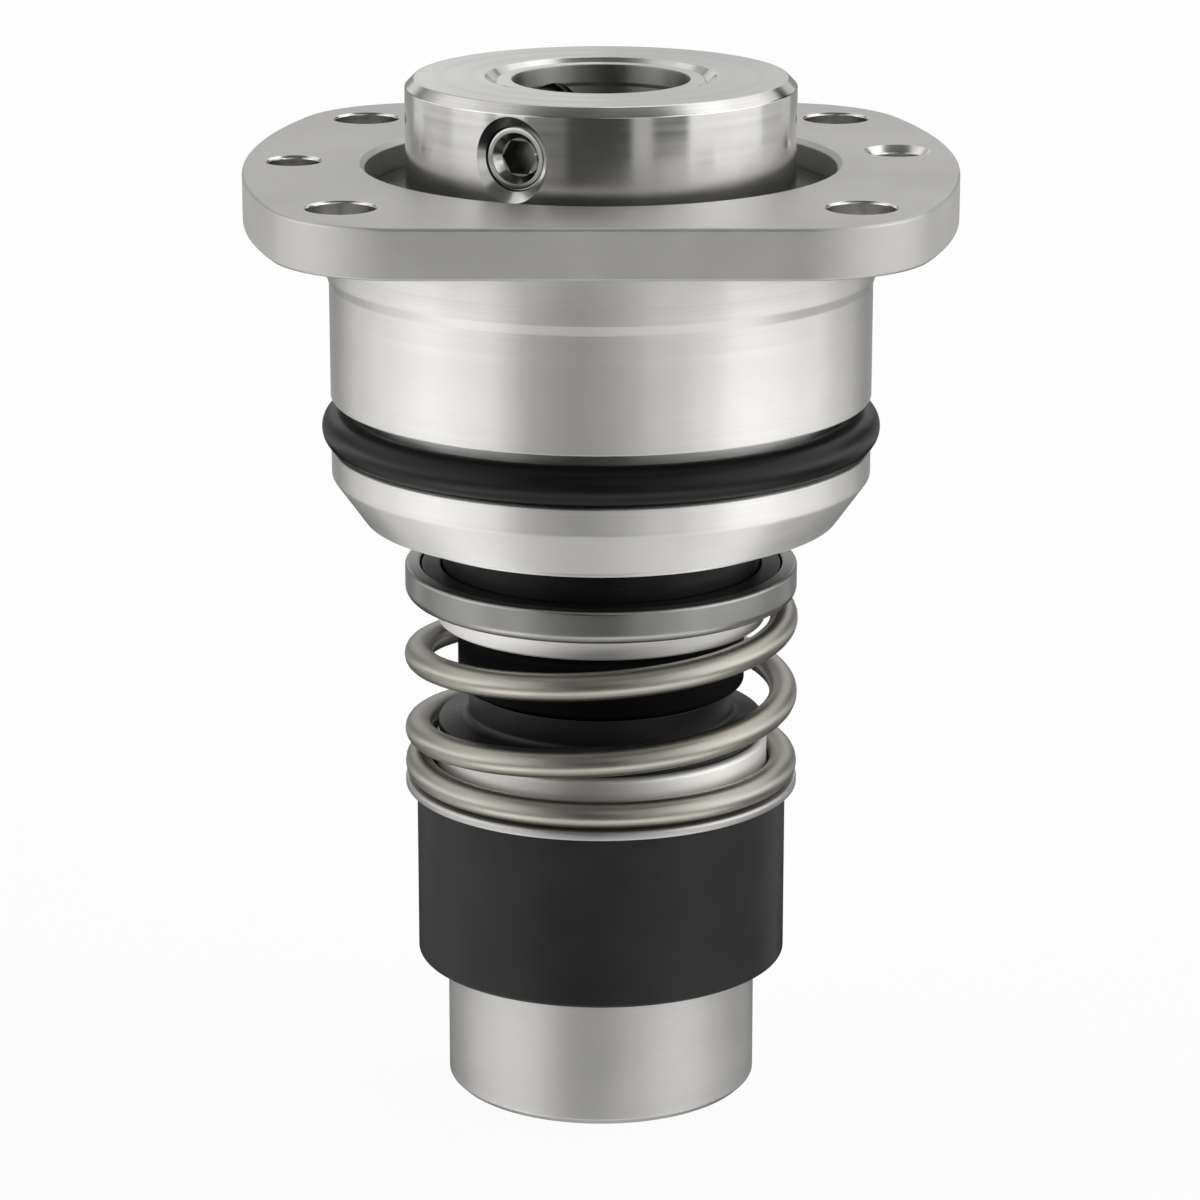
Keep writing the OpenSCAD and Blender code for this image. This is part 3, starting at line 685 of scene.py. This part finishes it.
class SEAL_OT_bellows(bpy.types.Operator):
    """Moulds the rubber bellows, which sits between the shaft unit and the seal head."""

    bl_idname = "mesh.seal_bellows"
    bl_label = "Rubber bellows"

    def execute(self, context):
        size = sizes()
        low = low_z("bellows")
        tail_r = outer_r("bellows")
        seat = low_z("lower_retainer")
        leg_top = high_z("lower_retainer")
        floor = high_z("coil_spring")
        throat = low_z("upper_retainer")
        band_top = high_z("upper_retainer")
        pilot_r = outer_r("coil_spring") - 2 * size.wire_r - size.spring_gap
        leg_bore = pilot_r - size.leg_wall
        rim_r = pilot_r - 0.4 * MM
        neck_r = size.tail_bore + size.neck_wall
        step_r = neck_r - 0.4 * MM
        roll_r = neck_r + size.roll_out
        roll_bore = roll_r - size.roll_wall
        cup_r = outer_r("upper_retainer") - size.band_wall - 0.15 * MM
        lip_r = outer_r("face_ring") + 0.15 * MM
        throat_r = leg_bore - 0.3 * MM
        neck_bore = size.tail_bore + 0.3 * MM
        cup_bore = size.sleeve_r + size.face_gap
        rim = leg_top + size.rim_lift
        shelf = rim + size.rim_height
        neck = shelf + 0.4 * MM
        roll = neck + size.neck_height
        waist = throat - 1.2 * MM
        cup = floor + size.cup_lift
        pocket = cup + 1.2 * MM
        lip = band_top - 0.2 * MM
        outline = [
            # Tail, and the leg inside the lower retainer
            (size.tail_bore, low), (tail_r, low, 0.45 * MM), (tail_r, seat, 0.35 * MM),
            (leg_bore - FIT, seat), (leg_bore - FIT, rim - 0.4 * MM),
            # Flared rim, neck and the small step over it
            (rim_r, rim, 0.35 * MM), (rim_r, shelf, 0.4 * MM), (neck_r, neck, 0.9 * MM),
            (neck_r, roll - 0.5 * MM, 0.2 * MM), (step_r, roll - 0.5 * MM),
            (step_r, roll - 0.15 * MM),
            # Rolled part, and the throat inside the upper retainer
            (roll_r, roll - 0.05 * MM, 0.5 * MM), (roll_r, waist, 0.7 * MM),
            (throat_r, throat, 0.5 * MM), (throat_r, cup),
            # Cup round the face ring
            (cup_r, cup, 0.4 * MM), (cup_r, lip, 0.3 * MM), (lip_r, lip, 0.3 * MM),
            (lip_r, pocket), (cup_bore, pocket), (cup_bore, cup),
            # Inner side, down the roll and the neck
            (roll_bore, waist, 0.8 * MM), (roll_bore, roll + 1.4 * MM, 0.5 * MM),
            (neck_bore, roll, 0.5 * MM), (neck_bore, neck), (size.tail_bore, shelf),
        ]
        made = piece("bellows_rubber_body", turned(outline), 50)
        made.data.materials.append(surface("bellows_rubber"))
        made.data.materials.append(surface("neck_rubber"))
        # The rolled part over the neck, up to the spring's top and inside the rim, takes the darker rubber:
        # painted shade where the band and the spring shade it.
        for face in made.data.polygons:
            radius = math.hypot(face.center.x, face.center.y)
            if roll - 0.6 * MM < face.center.z < floor and radius < rim_r - 0.3 * MM:
                face.material_index = 1
        weigh_normals(made)
        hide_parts("bellows")
        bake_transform(made)
        return {"FINISHED"}


def mark_leg(made, radius):
    """Gives a retainer's second surface to its leg, which lies within a radius. That surface is a lighter copy of
    the steel: painted light on the leg.
    """
    for face in made.data.polygons:
        if math.hypot(face.center.x, face.center.y) < radius + FIT:
            face.material_index = 1


class SEAL_OT_retainers(bpy.types.Operator):
    """Makes the lower and the upper retainer, each a turned steel ring."""

    bl_idname = "mesh.seal_retainers"
    bl_label = "Retainers"

    def execute(self, context):
        size = sizes()
        pilot_r = outer_r("coil_spring") - 2 * size.wire_r - size.spring_gap
        bore = pilot_r - size.leg_wall
        low, high = low_z("lower_retainer"), high_z("lower_retainer")
        flange = low_z("coil_spring")
        lower = [
            (bore, low, 0.3 * MM), (outer_r("lower_retainer"), low, 0.2 * MM),
            (outer_r("lower_retainer"), flange, 0.35 * MM), (pilot_r, flange, 0.3 * MM),
            (pilot_r, high, 0.75 * MM), (bore, high, size.edge),
        ]
        made = piece("lower_ring", turned(lower))
        mark_leg(made, pilot_r)
        finish(made, "rotor", ["ring_steel", "leg_steel"], ["lower_retainer"])
        floor = high_z("coil_spring")
        low, high = low_z("upper_retainer"), high_z("upper_retainer")
        outer = outer_r("upper_retainer")
        band_bore = outer - size.band_wall
        web = floor + 1 * MM
        upper = [
            (bore, low, 0.2 * MM), (pilot_r - size.pilot_taper, low, 0.3 * MM),
            (pilot_r, floor, 0.15 * MM), (outer, floor, 1.3 * MM), (outer, high, 0.45 * MM),
            (band_bore, high, 0.3 * MM), (band_bore, web, 0.3 * MM), (bore, web, 0.2 * MM),
        ]
        made = piece("upper_ring", turned(upper))
        mark_leg(made, pilot_r)
        finish(made, "seal_head", ["band_steel", "leg_steel"], ["upper_retainer"])
        return {"FINISHED"}


def eased(share):
    """Share of the spring's rise at a share of its rising turns, eased at both ends."""
    if share <= 0 or share >= 1:
        return min(max(share, 0), 1)
    if share < EASE:
        return share * share / (2 * EASE * (1 - EASE))
    if share > 1 - EASE:
        return 1 - (1 - share) ** 2 / (2 * EASE * (1 - EASE))
    return (share - EASE / 2) / (1 - EASE)


class SEAL_OT_spring(bpy.types.Operator):
    """Coils the spring's wire, which sits between the shaft unit and the seal head."""

    bl_idname = "mesh.seal_spring"
    bl_label = "Coil spring"

    def execute(self, context):
        size = sizes()
        low, high = low_z("coil_spring"), high_z("coil_spring")
        radius = outer_r("coil_spring") - size.wire_r
        rise = high - low - 2 * size.wire_r
        turns = size.closed_turns + size.rise_turns + size.flat_turns
        count = int(turns * WIRE_POINTS)
        path = bpy.data.curves.new("wire_path", "CURVE")
        path.dimensions = "3D"
        path.bevel_depth = size.wire_r
        path.bevel_resolution = 8
        path.use_fill_caps = True
        line = path.splines.new("POLY")
        line.points.add(count)
        for i, point in enumerate(line.points):
            turn = turns * i / count
            angle = size.spring_start + FULL_TURN * turn
            level = low + size.wire_r + rise * eased((turn - size.closed_turns) / size.rise_turns)
            point.co = (radius * math.cos(angle), radius * math.sin(angle), level, 1)
        guide = bpy.data.objects.new("wire_guide", path)
        context.scene.collection.objects.link(guide)
        depsgraph = context.evaluated_depsgraph_get()
        depsgraph.update()
        mesh = bmesh.new()
        swept = guide.evaluated_get(depsgraph)
        mesh.from_mesh(swept.to_mesh())
        swept.to_mesh_clear()
        bpy.data.objects.remove(guide)
        bmesh.ops.remove_doubles(mesh, verts=mesh.verts[:], dist=0.001 * MM)
        bmesh.ops.recalc_face_normals(mesh, faces=mesh.faces[:])
        made = piece("spring_wire", mesh, 50)
        made.data.materials.append(surface("wire_steel"))
        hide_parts("coil_spring")
        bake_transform(made)
        return {"FINISHED"}


class SEAL_OT_faces(bpy.types.Operator):
    """Turns the rotating face ring, and gives the hidden pieces their surfaces."""

    bl_idname = "mesh.seal_faces"
    bl_label = "Seal faces"

    def execute(self, context):
        size = sizes()
        low, high = low_z("face_ring"), high_z("face_ring")
        outer = outer_r("face_ring")
        bore = size.sleeve_r + size.face_gap
        shoulder = high - size.nose_height
        outline = [
            (bore, low), (outer, low, 0.3 * MM), (outer, shoulder, size.edge),
            (size.nose_r, shoulder), (size.nose_r, high, size.fine_edge), (bore, high, 0.3 * MM),
        ]
        made = piece("face_carbon_ring", turned(outline))
        finish(made, "seal_head", ["face_carbon"], ["face_ring"])
        hidden = {
            "seat_ring": "face_carbon", "seat_o_ring": "ring_rubber", "seat_pin": "screw_steel",
            "sleeve_o_ring": "ring_rubber", "guide_ring": "face_carbon",
        }
        for node, name in hidden.items():
            for kept in frame["nodes"][node].material_slots:
                kept.material = surface(name)
        return {"FINISHED"}


def arc_from(mesh, start, centre, angle, steps):
    """Wire arc from a vertex about a vertical axis, and the arc's last vertex."""
    made = bmesh.ops.spin(
        mesh, geom=[start], cent=centre, axis=(0, 0, 1), angle=angle, steps=steps,
        use_duplicate=False,
    )
    return next(item for item in made["geom_last"] if isinstance(item, bmesh.types.BMVert))


def flange_plate(low, high):
    """Solid flange with straight front and back edges, bowed sides and round corners."""
    half_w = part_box("gland_plate")[1].x
    half_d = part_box("gland_plate")[1].y
    size = sizes()
    side_r, corner_r = size.side_r, size.corner_r
    corner_y = half_d - corner_r
    side_at = side_r - half_w
    turn = math.asin(corner_y / (side_r - corner_r))
    corner_x = (side_r - corner_r) * math.cos(turn) - side_at
    mesh = bmesh.new()
    # Right half of the outline: a corner, the bowed side and the other corner
    start = mesh.verts.new((corner_x, -half_d, low))
    end = arc_from(mesh, start, (corner_x, -corner_y, low), math.pi / 2 - turn, 24)
    end = arc_from(mesh, end, (-side_at, 0, low), 2 * turn, 40)
    end = arc_from(mesh, end, (corner_x, corner_y, low), math.pi / 2 - turn, 24)
    # Left half, and the straight edges between the two
    half = mesh.verts[:] + mesh.edges[:]
    bmesh.ops.duplicate(mesh, geom=half)
    copied = [v for v in mesh.verts if v not in half]
    bmesh.ops.rotate(mesh, cent=(0, 0, 0), matrix=Matrix.Rotation(math.pi, 3, "Z"), verts=copied)
    tips = [v for v in mesh.verts if len(v.link_edges) == 1]
    for level in (-half_d, half_d):
        pair = [v for v in tips if abs(v.co.y - level) < 0.001 * MM]
        mesh.edges.new(pair)
    face = bmesh.ops.contextual_create(mesh, geom=mesh.edges[:])["faces"][0]
    raised = bmesh.ops.extrude_face_region(mesh, geom=[face], use_keep_orig=True)["geom"]
    upper = [v for v in raised if isinstance(v, bmesh.types.BMVert)]
    bmesh.ops.translate(mesh, vec=(0, 0, high - low), verts=upper)
    bmesh.ops.recalc_face_normals(mesh, faces=mesh.faces[:])
    rims = [
        edge for edge in mesh.edges
        if len(edge.link_faces) == 2 and edge.calc_face_angle() > math.radians(60)
    ]
    bmesh.ops.bevel(
        mesh, geom=rims, offset=size.plate_chamfer, offset_type="OFFSET", segments=3, profile=0.5,
        affect="EDGES", material=-1, clamp_overlap=True,
    )
    return piece("plate", mesh)


def drilled(name, radius, mouth, low, high, place):
    """Cutter for a hole through the flange, with a countersink above and a small one below."""
    foot = 0.3 * MM
    outline = [
        (0, low - PAST), (radius + PAST + foot, low - PAST), (radius, low + foot),
        (radius, high - mouth, 0.15 * MM), (radius + mouth + PAST, high + PAST), (0, high + PAST),
    ]
    mesh = turned(outline, 96)
    bmesh.ops.translate(mesh, vec=(place[0], place[1], 0), verts=mesh.verts[:])
    return piece(name, mesh)


class SEAL_OT_gland(bpy.types.Operator):
    """Machines the gland plate: flange, hub, groove, bores and holes in one piece."""

    bl_idname = "mesh.seal_gland"
    bl_label = "Gland plate"

    def execute(self, context):
        size = sizes()
        low, high = low_z("gland_plate"), high_z("gland_plate")
        under = mount("gland_face")["pos_m"][2]
        hub_r, lip_r, register_r = size.hub_r, size.lip_r, size.register_r
        ring_low, ring_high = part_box("gland_o_ring")
        groove_r = ring_high.x - (ring_high.z - ring_low.z) - FIT
        groove = ring_low.z - FIT
        groove_top = groove + size.groove_height
        hub_foot = low + size.lip_height
        land = hub_foot + size.bevel_height
        register = under - size.register_height
        within = under + 2 * MM
        edge = size.edge
        hub = [
            # Lip, long bevel and land
            (0, low), (lip_r, low, 0.25 * MM), (lip_r, hub_foot),
            (hub_r - size.bevel_width, hub_foot, 0.2 * MM), (hub_r, land, 0.25 * MM),
            # O-ring groove
            (hub_r, groove, 0.2 * MM), (groove_r, groove, 0.3 * MM),
            (groove_r, groove_top, 0.3 * MM), (hub_r, groove_top, 0.25 * MM),
            # Register, which ends inside the flange
            (hub_r, register - 1.2 * MM, edge), (register_r, register, edge),
            (register_r, within), (0, within),
        ]
        pocket_r = outer_r("seat_ring") + 0.1 * MM
        pocket_top = high_z("seat_ring") + 0.15 * MM
        bore_r = size.gland_bore
        floor = low_z("guide_ring")
        recess_r = outer_r("guide_ring") + 0.1 * MM
        chamfer = size.recess_chamfer
        inside = [
            # Seat pocket and bore
            (0, low - PAST), (pocket_r + PAST, low - PAST), (pocket_r, low),
            (pocket_r, pocket_top), (bore_r, pocket_top), (bore_r, floor, 0.2 * MM),
            # Recess round the collar
            (recess_r, floor, 0.3 * MM), (recess_r, high - chamfer, 0.1 * MM),
            (recess_r + chamfer + PAST, high + PAST), (0, high + PAST),
        ]
        made = flange_plate(under, high)
        made.name = "gland"
        cut(made, [piece("hub", turned(hub))], "UNION")
        bolts = mount("gland_bolts")["dims"]
        cutters = [piece("inside", turned(inside))]
        reach = bolts["pcd_mm"] * MM / 2
        # Each hole's place, radius and countersink
        holes = []
        for i in range(bolts["count"]):
            angle = math.radians(45 + 90 * i)
            place = (reach * math.cos(angle), reach * math.sin(angle))
            holes.append((place, bolts["hole_r_mm"] * MM, 0.2 * MM))
        for name, mouth in (("plain_hole", 0.3 * MM), ("threaded_hole", 0.9 * MM)):
            holes.append((mount(name)["pos_m"], mount_radius(name), mouth))
        for place, radius, mouth in holes:
            cutters.append(drilled("hole", radius, mouth, under, high, place))
        cut(made, cutters)
        tidy_cut(made)
        surfaces = ["hub_steel", "plate_steel", "rim_steel", "hole_steel"]
        rim_from = 42 * MM  # inside the rim, and outside the recess
        for face in made.data.polygons:
            at = face.center
            rim = abs(face.normal.z) < 0.2 and math.hypot(at.x, at.y) > rim_from
            part = "rim_steel" if rim else "plate_steel"
            for place, radius, mouth in holes:
                if math.hypot(at.x - place[0], at.y - place[1]) < radius + mouth:
                    part = "hole_steel"
            if at.z < under - 0.01 * MM:
                part = "hub_steel"
            face.material_index = surfaces.index(part)
        finish(made, "gland", surfaces, ["gland_plate"])
        return {"FINISHED"}


class SEAL_OT_gland_ring(bpy.types.Operator):
    """Moulds the O-ring round the hub."""

    bl_idname = "mesh.seal_gland_ring"
    bl_label = "Hub O-ring"

    def execute(self, context):
        low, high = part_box("gland_o_ring")
        section = (high.z - low.z) / 2
        mesh = bmesh.new()
        centre = Matrix.Translation((high.x - section, 0, low.z + section))
        bmesh.ops.create_circle(
            mesh, cap_ends=False, radius=section, segments=48,
            matrix=centre @ Matrix.Rotation(math.pi / 2, 4, "X"),
        )
        revolve(mesh, sizes().steps)
        made = piece("hub_o_ring", mesh, 60)
        finish(made, "gland", ["ring_rubber"], ["gland_o_ring"])
        return {"FINISHED"}


# Studio


# The light round the object, from the lowest band to the highest. Each band has the sine of its
# upper edge's height, and its panels, each with the angle at which it ends and its level. Angles
# are in degrees from the front towards +X, and the first panel starts at -180. The levels were
# fitted to the photograph's tones by least squares, then scaled, merged and rounded. Those at the
# back, which the photograph doesn't show, were raised.
PANEL_BANDS = [
    (-0.8, [(180, 0.6)]),
    (-0.5, [(-135, 0), (-90, 0.75), (-45, 2.2), (0, 1.4), (90, 1.75), (135, 0.25), (180, 0)]),
    (-0.3, [(-150, 0), (-120, 0.15), (-90, 0.8), (-60, 0.65), (-35, 0.8), (-12, 0.25), (12, 0.05),
        (35, 0.25), (60, 0.95), (90, 0.2), (120, 0), (150, 0.25), (180, 0)]),
    (-0.12, [(-142, 0.35), (-128, 0.85), (-97, 0.45), (-70, 0.7), (-44, 0.3), (18, 0.1), (30, 0.5),
        (52, 0.05), (107, 0.85), (131, 0.5), (146, 0.7), (180, 0.35)]),
    (0.12, [(-142, 0.3), (-128, 0.45), (-97, 1.85), (-70, 2.25), (-44, 1.4), (-20, 0.55), (18, 0),
        (30, 0.85), (52, 0.7), (80, 2.1), (107, 2.45), (131, 1.35), (180, 0.3)]),
    (0.4, [(-150, 0.85), (-120, 0.25), (-90, 0.75), (-60, 1.65), (-35, 0.95), (12, 0.05), (35, 0.5),
        (60, 1.3), (90, 2.05), (120, 1.2), (150, 0), (180, 0.7)]),
    (0.75, [(-135, 0.55), (-45, 1.1), (0, 0.15), (45, 0.55), (90, 1.6), (135, 1.35), (180, 0.9)]),
    (1, [(-90, 0.85), (90, 0.1), (180, 1.6)]),
]
LEVEL_TOP = 4
LIGHT_COLOUR = (1, 0.995, 0.985, 1)
WHITE = (1, 1, 1, 1)
# Softness of the edges between panels, in degrees, and between bands, as a sine
PANEL_EDGE, BAND_EDGE = 1.5, 0.02


def level_ramp(tree, angle, stops):
    """Light level at an angle from -180 to 180, read from (angle, level) stops."""
    ramp = tree.nodes.new("ShaderNodeValToRGB")
    elements = ramp.color_ramp.elements
    while len(elements) < len(stops):
        elements.new(0.5)
    for element, (place, level) in zip(elements, stops):
        element.position = (place + 180) / 360
    for element, (place, level) in zip(elements, stops):
        element.color = (level / LEVEL_TOP, level / LEVEL_TOP, level / LEVEL_TOP, 1)
    share = maths(tree, "DIVIDE", maths(tree, "ADD", angle, 180), 360)
    tree.links.new(share, ramp.inputs[0])
    return maths(tree, "MULTIPLY", ramp.outputs[0], LEVEL_TOP)


def blend_levels(tree, share, first, second):
    """First level where the share is 0, second where it is 1."""
    change = maths(tree, "MULTIPLY", maths(tree, "SUBTRACT", second, first), share)
    return maths(tree, "ADD", first, change)


def studio_world():
    """White to the camera, and round the object soft panels, a dark front and a pale table."""
    world = bpy.data.worlds.new("studio")
    bpy.context.scene.world = world
    world.use_nodes = True
    tree = world.node_tree
    tree.nodes.clear()
    output = tree.nodes.new("ShaderNodeOutputWorld")
    split = tree.nodes.new("ShaderNodeSeparateXYZ")
    tree.links.new(tree.nodes.new("ShaderNodeTexCoord").outputs["Generated"], split.inputs[0])
    right, back, height = split.outputs
    angle = maths(tree, "ARCTAN2", right, maths(tree, "MULTIPLY", back, -1))
    degrees = maths(tree, "MULTIPLY", angle, 180 / math.pi)
    level = below = None
    for top, panels in PANEL_BANDS:
        stops = []
        start = -180
        for end, value in panels:
            soft = min(PANEL_EDGE, (end - start) / 4)
            stops += [(start + soft, value), (end - soft, value)]
            start = end
        band = level_ramp(tree, degrees, stops)
        if level is None:
            level = band
        else:
            above = spread(tree, height, 0, 1, below - BAND_EDGE, below + BAND_EDGE)
            level = blend_levels(tree, above, level, band)
        below = top
    light = tree.nodes.new("ShaderNodeBackground")
    tree.links.new(level, light.inputs["Strength"])
    light.inputs["Color"].default_value = LIGHT_COLOUR
    white = tree.nodes.new("ShaderNodeBackground")
    white.inputs["Color"].default_value = WHITE
    ray = tree.nodes.new("ShaderNodeLightPath")
    mix = tree.nodes.new("ShaderNodeMixShader")
    seen = maths(tree, "MAXIMUM", ray.outputs["Is Camera Ray"], ray.outputs["Is Transmission Ray"])
    tree.links.new(seen, mix.inputs[0])
    tree.links.new(light.outputs[0], mix.inputs[1])
    tree.links.new(white.outputs[0], mix.inputs[2])
    tree.links.new(mix.outputs[0], output.inputs["Surface"])


def studio_floor():
    """White floor that keeps a faint shadow and isn't seen in the metal."""
    reach = 12  # metres from the middle to each side
    paper_white = (0.9, 0.9, 0.9, 1)
    glow_share = 0.93  # what the camera sees of the glow, and the rest of the lit paper
    mesh = bmesh.new()
    bmesh.ops.create_grid(mesh, x_segments=1, y_segments=1, size=reach)
    floor = piece("floor", mesh)
    made = bpy.data.materials.new("floor_white")
    made.use_nodes = True
    tree = made.node_tree
    tree.nodes.clear()
    output = tree.nodes.new("ShaderNodeOutputMaterial")
    paper = tree.nodes.new("ShaderNodeBsdfDiffuse")
    paper.inputs["Color"].default_value = paper_white
    glow = tree.nodes.new("ShaderNodeEmission")
    glow.inputs["Color"].default_value = WHITE
    ray = tree.nodes.new("ShaderNodeLightPath")
    mix = tree.nodes.new("ShaderNodeMixShader")
    seen = maths(tree, "MULTIPLY", ray.outputs["Is Camera Ray"], glow_share)
    tree.links.new(seen, mix.inputs[0])
    tree.links.new(paper.outputs[0], mix.inputs[1])
    tree.links.new(glow.outputs[0], mix.inputs[2])
    tree.links.new(mix.outputs[0], output.inputs["Surface"])
    floor.data.materials.append(made)
    floor.visible_glossy = False
    floor.visible_shadow = False


def studio_camera():
    """Camera at the photograph's angle, in front of the seal and a little above it."""
    target = Vector((-0.13 * MM, 0, 64.2 * MM))
    distance = 579.8 * MM
    pitch = math.radians(15.9)
    data = bpy.data.cameras.new("camera")
    data.lens = 135.9
    data.sensor_width = 36
    data.clip_start = 0.01
    camera = bpy.data.objects.new("camera", data)
    camera.location = target + distance * Vector((0, -math.cos(pitch), math.sin(pitch)))
    camera.rotation_euler = (math.pi / 2 - pitch, 0, 0)
    bpy.context.scene.collection.objects.link(camera)
    bpy.context.scene.camera = camera


class SEAL_OT_stage(bpy.types.Operator):
    """Sets up the white studio with its soft light, floor and camera."""

    bl_idname = "scene.seal_stage"
    bl_label = "Studio"

    def execute(self, context):
        studio_world()
        studio_floor()
        studio_camera()
        context.scene.view_settings.view_transform = "Standard"
        return {"FINISHED"}


class SEAL_PT_panel(bpy.types.Panel):
    """Lists the pieces, their sizes and their colours."""

    bl_idname = "SEAL_PT_panel"
    bl_label = "Cartridge seal"
    bl_space_type = "VIEW_3D"
    bl_region_type = "UI"
    bl_category = "Seal"

    def draw(self, context):
        layout = self.layout
        for operator in OPERATORS:
            layout.operator(operator.bl_idname)
        for group in (context.scene.seal_sizes, context.scene.seal_colours):
            box = layout.box()
            for name in group.bl_rna.properties.keys():
                if name not in ("rna_type", "name"):
                    box.prop(group, name)


OPERATORS = (
    SEAL_OT_stage, SEAL_OT_sleeve, SEAL_OT_collar, SEAL_OT_set_screws, SEAL_OT_bellows,
    SEAL_OT_retainers, SEAL_OT_spring, SEAL_OT_faces, SEAL_OT_gland, SEAL_OT_gland_ring,
)
CLASSES = (SealSizes, SealColours, *OPERATORS, SEAL_PT_panel)


def register():
    """Registers the classes and gives each scene its sizes and colours."""
    for kind in CLASSES:
        bpy.utils.register_class(kind)
    bpy.types.Scene.seal_sizes = bpy.props.PointerProperty(type=SealSizes)
    bpy.types.Scene.seal_colours = bpy.props.PointerProperty(type=SealColours)


def unregister():
    """Takes away what register added."""
    del bpy.types.Scene.seal_colours
    del bpy.types.Scene.seal_sizes
    for kind in reversed(CLASSES):
        bpy.utils.unregister_class(kind)


def main():
    """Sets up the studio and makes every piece."""
    register()
    bpy.ops.scene.seal_stage()
    bpy.ops.mesh.seal_sleeve()
    bpy.ops.mesh.seal_collar()
    bpy.ops.mesh.seal_set_screws()
    bpy.ops.mesh.seal_bellows()
    bpy.ops.mesh.seal_retainers()
    bpy.ops.mesh.seal_spring()
    bpy.ops.mesh.seal_faces()
    bpy.ops.mesh.seal_gland()
    bpy.ops.mesh.seal_gland_ring()


if __name__ == "__main__":
    main()
